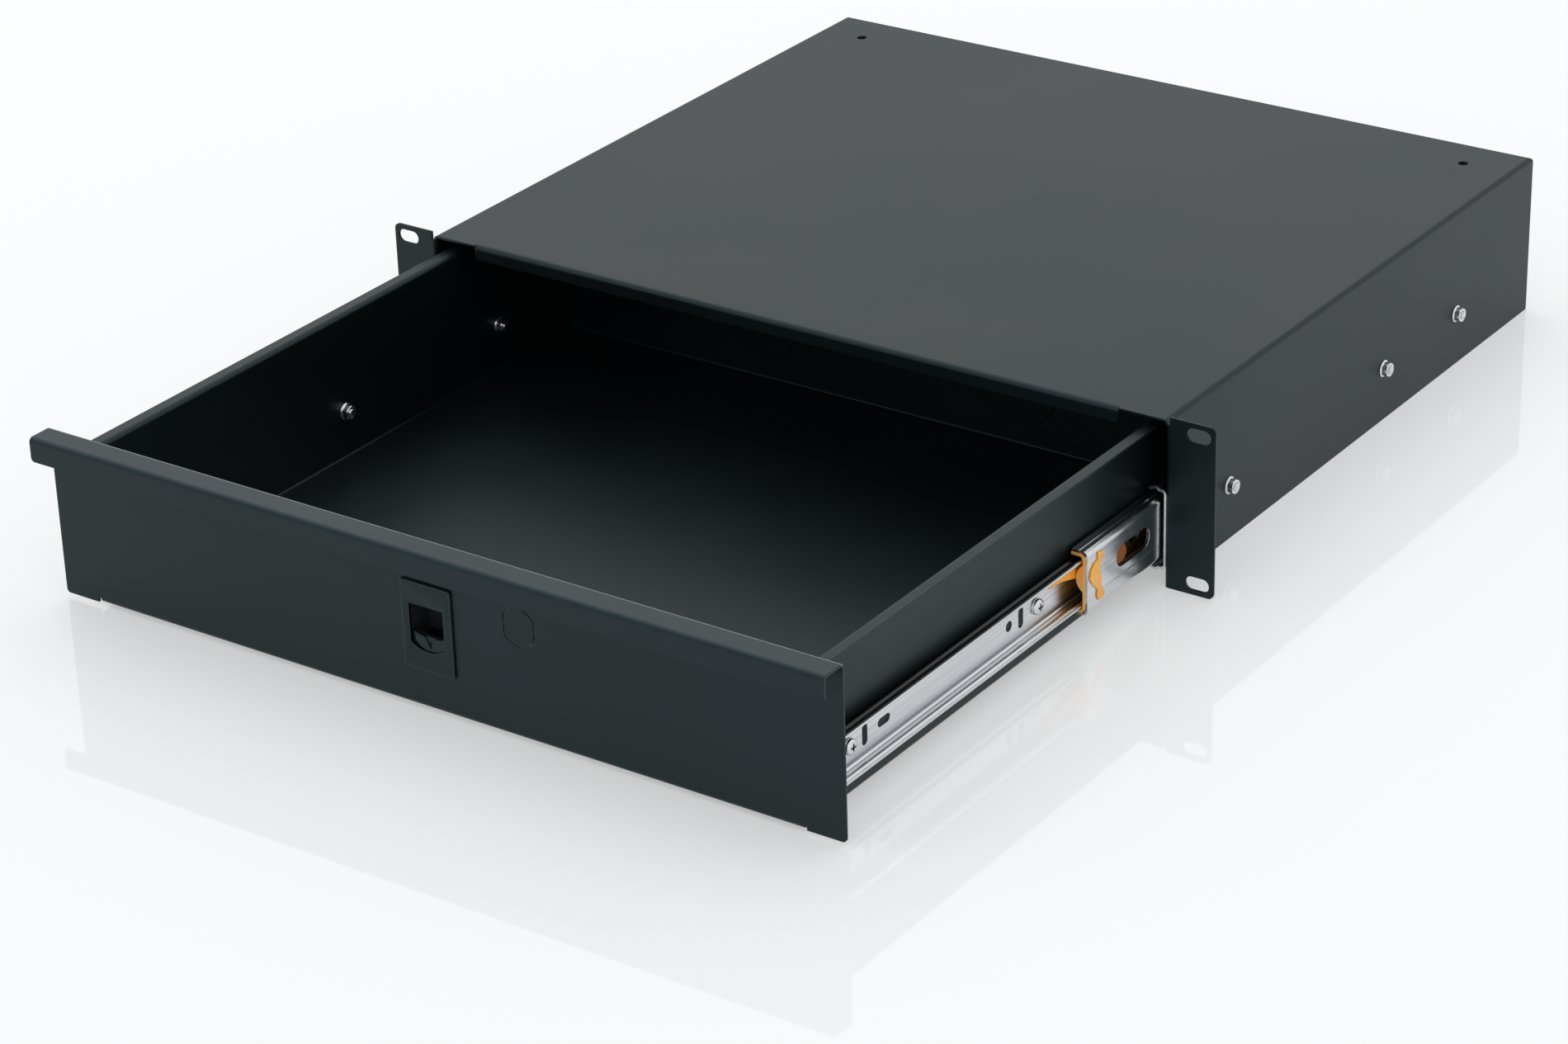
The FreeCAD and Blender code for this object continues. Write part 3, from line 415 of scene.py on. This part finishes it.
def translucent(name, shades):
    # Moulded plastic that light enters a little, with painted shade in its corners.
    painted_corner_shade, dark, light = shades
    finish, tree, shader = new_finish(name)
    shade = tree.nodes.new("ShaderNodeAmbientOcclusion")
    shade.samples = corner_samples
    shade.inputs["Distance"].default_value = corner_reach
    openness = ramp(tree, shade.outputs["AO"], 0.0, 1.0, 0.0, 0.55)
    cloud = ramp(tree, grain(tree, lumps=60, detail=3), dark, light)
    colour = laid_over(tree, painted_corner_shade, cloud, openness)
    tree.links.new(colour, shader.inputs["Base Color"])
    shader.inputs["Roughness"].default_value = 0.36
    shader.inputs["Specular IOR Level"].default_value = 0.35
    shader.inputs["Subsurface Weight"].default_value = 0.25
    shader.inputs["Subsurface Radius"].default_value = (0.002, 0.0008, 0.0002)
    shader.inputs["Subsurface Scale"].default_value = 0.5
    relief(tree, shader, grain(tree, lumps=1800), depth=0.00002, edge=0.0003)
    return finish, tree, shader, colour


amber = translucent("amber_plastic", amber_shades)[0]

ball_radius = 0.002
ball_segments, ball_rings = 24, 14
ball_rows = (("outer_balls", 6, "outer_race"), ("inner_balls", 5, "inner_race"))


def link_mesh(name, mesh_data, finish):
    mesh = bpy.data.meshes.new(name)
    mesh_data.to_mesh(mesh)
    mesh_data.free()
    mesh.materials.append(finish)
    mesh.shade_smooth()
    piece = bpy.data.objects.new(name, mesh)
    bpy.context.scene.collection.objects.link(piece)
    return piece


for side in ("left", "right"):
    dress("outer_cage_" + side, cage_steel)
    dress("inner_cage_" + side, amber)
    for row, count, race in ball_rows:
        low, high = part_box(row + "_" + side)
        middle = (low + high) / 2
        first = low.y + ball_radius
        step = (high.y - low.y - 2 * ball_radius) / (count - 1)
        row_mesh = bmesh.new()
        for k in range(count):
            for z in (low.z + ball_radius, high.z - ball_radius):
                spot = Matrix.Translation((middle.x, first + k * step, z))
                bmesh.ops.create_uvsphere(row_mesh, u_segments=ball_segments, v_segments=ball_rings,
                                          radius=ball_radius, matrix=spot)
        balls = link_mesh("bearing_" + row + "_" + side, row_mesh, bright)
        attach(balls, race + "_" + side)
        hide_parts(row + "_" + side)

# Fasteners. M4 machine screws, nickel plated, hold the slides: flat heads flush in the outer
# members and pan heads with a cross recess in the inner ones. Each ends in a flanged hexagon
# nut, outside the case or inside the drawer, with a few turns of its thread showing.
screw_radius = 0.002
thread_pitch = 0.0007
thread_depth = 0.00033
thread_start = 0.0026
thread_tip_share = 0.75
turn_steps = 24
thread_rows = 8
flat_head_radius = 0.0036
flat_head_height = 0.0016
nut_flats = 0.007
nut_flange = 0.009
flange_height = 0.0008
flange_rim = 0.00035
flange_draw = 0.0001
nut_height = 0.0032
nut_chamfer = 0.0004
nut_top_share = 0.96
head_radius = 0.004
head_height = 0.0025
head_edge_share = 0.35
head_foot = 0.0002
head_foot_share = 0.97
crown_share = 0.42
crown_rows = 8
recess_arm = 0.0021
recess_half_width = 0.00055
recess_depth = 0.0015
recess_taper = 0.35
recess_over = 0.0002
outer_screw_places = (0.0578, 0.2147, -0.0602)
inner_screw_places = (0.0255, 0.1775, -0.0425)

nickel_dark, nickel_light = (0.60, 0.60, 0.61, 1), (0.74, 0.74, 0.75, 1)
nickel, tree, shader = plain_metal("screw_steel", nickel_dark, nickel_light, lumps=500, detail=4)
uneven_gloss(tree, shader, lumps=350, smooth=0.08, rough=0.18)

# The cut faces of the cross recesses are painted dark, as painted shade.
recess_shade_low, recess_shade_high = (0.10, 0.10, 0.105, 1), (0.16, 0.16, 0.165, 1)
recess_painted_shade, tree, shader = plain_metal("recess_painted_shade", recess_shade_low, recess_shade_high, lumps=500)
shader.inputs["Roughness"].default_value = 0.3

nut_dark, nut_light = (0.62, 0.64, 0.65, 1), (0.78, 0.79, 0.80, 1)
nut_zinc, tree, shader = plain_metal("nut_steel", nut_dark, nut_light, lumps=380, detail=4)
uneven_gloss(tree, shader, lumps=300, smooth=0.16, rough=0.28)
relief(tree, shader, grain(tree, lumps=1500), depth=0.00001, edge=0.00025)


def rings_to_mesh(mesh_data, rings, place, looped=False):
    # Joins rings of points (x outwards along the screw, y and z round it) into a skin. It is
    # capped at both ends, or joined back to its first ring where a hole runs through it.
    rows = [[mesh_data.verts.new(place @ Vector(point)) for point in ring] for ring in rings]
    if looped:
        rows.append(rows[0])
    for low, high in zip(rows, rows[1:]):
        for k in range(len(low)):
            mesh_data.faces.new((low[k - 1], low[k], high[k], high[k - 1]))
    if not looped:
        mesh_data.faces.new(list(reversed(rows[0])))
        mesh_data.faces.new(rows[-1])


def circle(along, radius):
    turns = [2 * math.pi * (k + 0.5) / turn_steps for k in range(turn_steps)]
    return [(along, radius * math.cos(t), radius * math.sin(t)) for t in turns]


def add_thread(mesh_data, place, start, end):
    # A helical thread: the radius of the skin follows the turn and the way along, and tapers
    # off over the last turn.
    rings = []
    rows = int((end - start) / thread_pitch * thread_rows)
    for row in range(rows + 1):
        along = start + (end - start) * row / rows
        ring = []
        for k in range(turn_steps):
            t = 2 * math.pi * k / turn_steps
            phase = (along / thread_pitch - k / turn_steps) % 1
            radius = screw_radius - thread_depth * abs(2 * phase - 1)
            taper = min(1.0, (end - along) / thread_pitch + thread_tip_share)
            ring.append((along, radius * taper * math.cos(t), radius * taper * math.sin(t)))
        rings.append(ring)
    rings_to_mesh(mesh_data, rings, place)


def add_nut(mesh_data, place):
    # The flange slopes up to the hexagon, whose corners are turned off at the top.
    corner = nut_flats / 2 / math.cos(math.pi / 6)
    top = flange_height + nut_height
    rings = [circle(0, nut_flange / 2 - flange_draw), circle(flange_rim, nut_flange / 2),
             circle(flange_height, corner)]
    for along, reach in ((flange_height, corner), (top - nut_chamfer, corner),
                         (top, nut_flats / 2 * nut_top_share)):
        ring = []
        for k in range(turn_steps):
            t = 2 * math.pi * (k + 0.5) / turn_steps
            nearest_flat = (t + math.pi / 6) % (math.pi / 3) - math.pi / 6
            hexagon = nut_flats / 2 / math.cos(nearest_flat)
            radius = min(hexagon, reach)
            ring.append((along, radius * math.cos(t), radius * math.sin(t)))
        rings.append(ring)
    rings += [circle(top, screw_radius + nut_chamfer), circle(top - nut_chamfer, screw_radius),
              circle(0, screw_radius)]
    rings_to_mesh(mesh_data, rings, place, looped=True)


def add_pan_head(mesh_data, place):
    # Domed head: straight edge, then a crown that flattens towards the recess.
    edge = head_height * head_edge_share
    rings = [circle(0, head_radius * head_foot_share), circle(head_foot, head_radius),
             circle(edge, head_radius)]
    for k in range(1, crown_rows + 1):
        t = math.pi / 2 * k / crown_rows
        radius = head_radius * (crown_share + (1 - crown_share) * math.cos(t))
        rings.append(circle(edge + (head_height - edge) * math.sin(t), radius))
    rings_to_mesh(mesh_data, rings, place)


def add_recess_cutter(mesh_data, place):
    # Cross with tapered arms, wide at the top of the head and narrow at its bottom.
    arm, half = recess_arm, recess_half_width
    cross = [(arm, -half), (arm, half), (half, half), (half, arm),
             (-half, arm), (-half, half), (-arm, half), (-arm, -half),
             (-half, -half), (-half, -arm), (half, -arm), (half, -half)]
    rings = []
    for along, size in ((head_height - recess_depth, recess_taper),
                        (head_height + recess_over, 1.0)):
        rings.append([(along, y * size, z * size) for y, z in cross])
    rings_to_mesh(mesh_data, rings, place)


def settle(piece):
    # Makes what the piece's modifiers do a lasting part of its mesh.
    view = bpy.context.evaluated_depsgraph_get()
    mesh = bpy.data.meshes.new_from_object(piece.evaluated_get(view))
    piece.modifiers.clear()
    piece.data = mesh


def cut(piece, cutter):
    # Takes the cutter's shape out of the piece, whose cut faces get the cutter's finish.
    modifier = piece.modifiers.new("cut", "BOOLEAN")
    modifier.operation = "DIFFERENCE"
    modifier.material_mode = "TRANSFER"
    modifier.object = cutter
    settle(piece)
    bpy.data.objects.remove(cutter)


def outward(x, y, z, sign):
    # A screw's own frame: it points to +X or -X from its seat.
    return Matrix.Translation((x, y, z)) @ Matrix.Diagonal((sign, sign, 1, 1))


def along_member(low, high, offsets):
    # Places from the member's front end, or from its rear end where there is a minus sign.
    return [(low.y if offset > 0 else high.y) + offset for offset in offsets]


outer_low, outer_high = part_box("slide_outer_right")
inner_low, inner_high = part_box("slide_inner_right")
outer_places = along_member(outer_low, outer_high, outer_screw_places)
inner_places = along_member(inner_low, inner_high, inner_screw_places)
slide_z = (outer_low.z + outer_high.z) / 2

for side, out in (("left", -1), ("right", 1)):
    near, far = (0, 1) if out > 0 else (1, 0)
    nut_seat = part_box("outer_nuts_" + side)[near].x
    screw_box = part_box("outer_screws_" + side)
    head_top = -abs(nut_seat - screw_box[near].x)
    shank_start = head_top + flat_head_height
    screw_reach = abs(screw_box[far].x - nut_seat)
    nuts, screws = bmesh.new(), bmesh.new()
    for y in outer_places:
        place = outward(nut_seat, y, slide_z, out)
        add_nut(nuts, place)
        add_thread(screws, place, shank_start, screw_reach)
        rings_to_mesh(screws, [circle(head_top, flat_head_radius),
                               circle(shank_start, screw_radius)], place)
    for name, body_mesh, finish, slot_name in (("outer_nuts", nuts, nut_zinc, "nut_steel"),
                                               ("outer_screws", screws, nickel, "screw_steel")):
        piece = link_mesh("case_" + name + "_" + side, body_mesh, finish)
        piece.data.set_sharp_from_angle(angle=smooth_angle)
        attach(piece, "case")
        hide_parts(name + "_" + side)

    nut_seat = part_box("inner_nuts_" + side)[far].x
    screw_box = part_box("inner_screws_" + side)
    screw_reach = abs(screw_box[near].x - nut_seat)
    head_seat = screw_box[far].x - out * head_height
    nuts, screws, heads, cutters = (bmesh.new() for _ in range(4))
    for y in inner_places:
        place = outward(nut_seat, y, slide_z, -out)
        add_nut(nuts, place)
        add_thread(screws, place, -thread_start, screw_reach)
        head_place = outward(head_seat, y, slide_z, out)
        add_pan_head(heads, head_place)
        add_recess_cutter(cutters, head_place)
    heads_piece = link_mesh("drawer_screw_heads_" + side, heads, nickel)
    cut(heads_piece, link_mesh("recess_cutter", cutters, recess_painted_shade))
    shanks_piece = link_mesh("drawer_screw_shanks_" + side, screws, nickel)
    nuts_piece = link_mesh("drawer_nuts_" + side, nuts, nut_zinc)
    for piece in (heads_piece, shanks_piece, nuts_piece):
        piece.data.set_sharp_from_angle(angle=smooth_angle)
        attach(piece, "drawer")
    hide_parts("inner_screws_" + side)
    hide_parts("inner_nuts_" + side)

# Front clips and release levers. Mouldings with softened edges: the amber clip snaps on the
# front end of the middle member, and the orange lever turns on a pin in the inner one.
moulded_edge = 0.0003
rounding_steps = 3
same_point = 0.00001
flat_enough = math.radians(1)
sharp_edge = math.radians(40)
# The first orange is painted shade for the lever's corners.
orange_shades = ((0.70, 0.17, 0.01, 1), (1.0, 0.37, 0.02, 1), (1.0, 0.45, 0.045, 1))
orange = translucent("orange_plastic", orange_shades)[0]

# The clip's tongue stands behind a window of the member and is painted darker there, as painted
# shade.
tongue_start = 0.0185
tongue_painted_shade = (0.30, 0.10, 0.018, 1)
clip_amber, tree, shader, colour = translucent("clip_amber_plastic", amber_shades)
in_shade = beyond(tree, own_place(tree), "Y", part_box("front_clip_right")[0].y + tongue_start)
colour = laid_over(tree, colour, tongue_painted_shade, in_shade)
tree.links.new(colour, shader.inputs["Base Color"])


def soften(node, finish, edge, body, rim=None):
    # A moulded piece keeps the shape of its node, with its sharp edges rounded off. A rim is
    # the finish of the rounded edges, where it differs.
    mesh_data = bmesh.new()
    mesh_data.from_mesh(nodes[node].data)
    bmesh.ops.remove_doubles(mesh_data, verts=mesh_data.verts, dist=same_point)
    bmesh.ops.dissolve_limit(mesh_data, angle_limit=flat_enough, verts=mesh_data.verts,
                             edges=mesh_data.edges)
    piece = link_mesh(node + "_moulding", mesh_data, finish)
    modifier = piece.modifiers.new("edge", "BEVEL")
    modifier.width = edge
    modifier.segments = rounding_steps
    modifier.limit_method = "ANGLE"
    modifier.angle_limit = sharp_edge
    if rim:
        piece.data.materials.append(rim)
        modifier.material = 1
    settle(piece)
    piece.data.shade_smooth()
    piece.data.set_sharp_from_angle(angle=smooth_angle)
    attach(piece, body)
    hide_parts(node)
    return piece


for side in ("left", "right"):
    soften("front_clip_" + side, clip_amber, moulded_edge, "middle_" + side)
    soften("release_lever_" + side, orange, moulded_edge, "lever_" + side)

# Latch. A bezel with a finger tub is clipped into the front, and behind it a housing guides
# the slider, whose curved grip shows in the window. All are black mouldings, glossy in front.
bezel_edge = 0.0004
latch_gloss = 0.34
housing_dark = (0.030, 0.032, 0.035, 1)
housing_light = (0.042, 0.045, 0.048, 1)
latch_finishes = []
for name, dark, light in (
        ("latch_plastic", (0.0008, 0.0020, 0.0022, 1), (0.0022, 0.0040, 0.0043, 1)),
        ("latch_edge_highlight_plastic", (0.030, 0.034, 0.036, 1), (0.040, 0.045, 0.047, 1)),
        ("slider_plastic", (0.009, 0.010, 0.0105, 1), (0.012, 0.013, 0.0135, 1))):
    finish, tree, shader = new_finish(name)
    tree.links.new(ramp(tree, grain(tree, lumps=120), dark, light), shader.inputs["Base Color"])
    uneven_gloss(tree, shader, lumps=200, smooth=0.15, rough=0.21)
    shader.inputs["Specular IOR Level"].default_value = latch_gloss
    shader.inputs["Specular Tint"].default_value = coat_sheen
    relief(tree, shader, grain(tree, lumps=900), depth=0.000004, edge=0.0002)
    latch_finishes.append(finish)
bezel_black, bezel_edge_highlight, slider_black = latch_finishes

# The walls of the tub are painted a lighter grey than the bezel's face, as painted light.
tub_start = 0.002
tub_painted_light = (0.024, 0.027, 0.029, 1)
tree = bezel_black.node_tree
shader = tree.nodes["Principled BSDF"]
colour = shader.inputs["Base Color"].links[0].from_socket
in_tub = beyond(tree, own_place(tree), "Y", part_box("latch_bezel")[0].y + tub_start)
tree.links.new(laid_over(tree, colour, tub_painted_light, in_tub), shader.inputs["Base Color"])

housing_black, tree, shader = new_finish("latch_housing_plastic")
tree.links.new(ramp(tree, grain(tree, lumps=150), housing_dark, housing_light),
               shader.inputs["Base Color"])
shader.inputs["Roughness"].default_value = 0.5
relief(tree, shader, grain(tree, lumps=1400), depth=0.00001, edge=0.0003)

# The bezel's rounded edges take a lighter grey, a painted highlight.
soften("latch_bezel", bezel_black, bezel_edge, "drawer", rim=bezel_edge_highlight)
slider = soften("latch_slider", slider_black, moulded_edge, "latch")
dress("latch_housing", housing_black)

# An arrow that points down, the way that the grip is pressed, is sunk into the grip's face.
arrow_half_width = 0.0036
arrow_top = -0.0048
arrow_tip = -0.0106
arrow_depth = 0.0010
front_to_back = Matrix(((0, 1, 0, 0), (1, 0, 0, 0), (0, 0, 1, 0), (0, 0, 0, 1)))
grip_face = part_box("latch_slider")[0].y
outline = [(-arrow_half_width, arrow_top), (0, arrow_tip), (arrow_half_width, arrow_top)]
arrow_ends = [[(y, x, z) for x, z in outline]
              for y in (grip_face - arrow_depth, grip_face + arrow_depth)]
arrow = bmesh.new()
rings_to_mesh(arrow, arrow_ends, front_to_back)
bmesh.ops.recalc_face_normals(arrow, faces=arrow.faces)
cut(slider, link_mesh("arrow_cutter", arrow, slider_black))

# Latch spring. A compression spring coiled from drawn steel wire, with its end turns laid
# close, stands in the housing under the slider and shortens when the grip is pressed down.
spring_turns = 5
closed_turns = 0.75
closed_pitch = 0.00085
wire_radius = 0.0004
wire_sides = 12
steps_in_a_turn = 32
wire_dark = (0.42, 0.42, 0.43, 1)
wire_light = (0.56, 0.56, 0.57, 1)

wire, tree, shader = plain_metal("spring_steel", wire_dark, wire_light, lumps=800)
shader.inputs["Roughness"].default_value = 0.28

spring_low, spring_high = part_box("latch_spring")
coil_radius = (spring_high.x - spring_low.x) / 2 - wire_radius
coil_centre = (spring_low + spring_high) / 2
lowest, highest = spring_low.z + wire_radius, spring_high.z - wire_radius
open_turns = spring_turns - 2 * closed_turns
open_pitch = (highest - lowest - 2 * closed_turns * closed_pitch) / open_turns
coil = []
for k in range(spring_turns * steps_in_a_turn + 1):
    turns = k / steps_in_a_turn
    closed = min(turns, closed_turns) + max(0.0, turns - spring_turns + closed_turns)
    height = lowest + closed * closed_pitch + (turns - closed) * open_pitch
    angle = 2 * math.pi * turns
    ring = []
    for j in range(wire_sides):
        around = 2 * math.pi * j / wire_sides
        radius = coil_radius + wire_radius * math.cos(around)
        ring.append((coil_centre.x + radius * math.cos(angle),
                     coil_centre.y + radius * math.sin(angle),
                     height + wire_radius * math.sin(around)))
    coil.append(ring)
spring_mesh = bmesh.new()
rings_to_mesh(spring_mesh, coil, Matrix.Identity(4))
bmesh.ops.recalc_face_normals(spring_mesh, faces=spring_mesh.faces)
spring = link_mesh("latch_spring_coil", spring_mesh, wire)
spring.data.set_sharp_from_angle(angle=smooth_angle)
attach(spring, "drawer")
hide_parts("latch_spring")
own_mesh(spring)

# View. Colours show as they are mixed.
bpy.context.scene.view_settings.view_transform = "Standard"
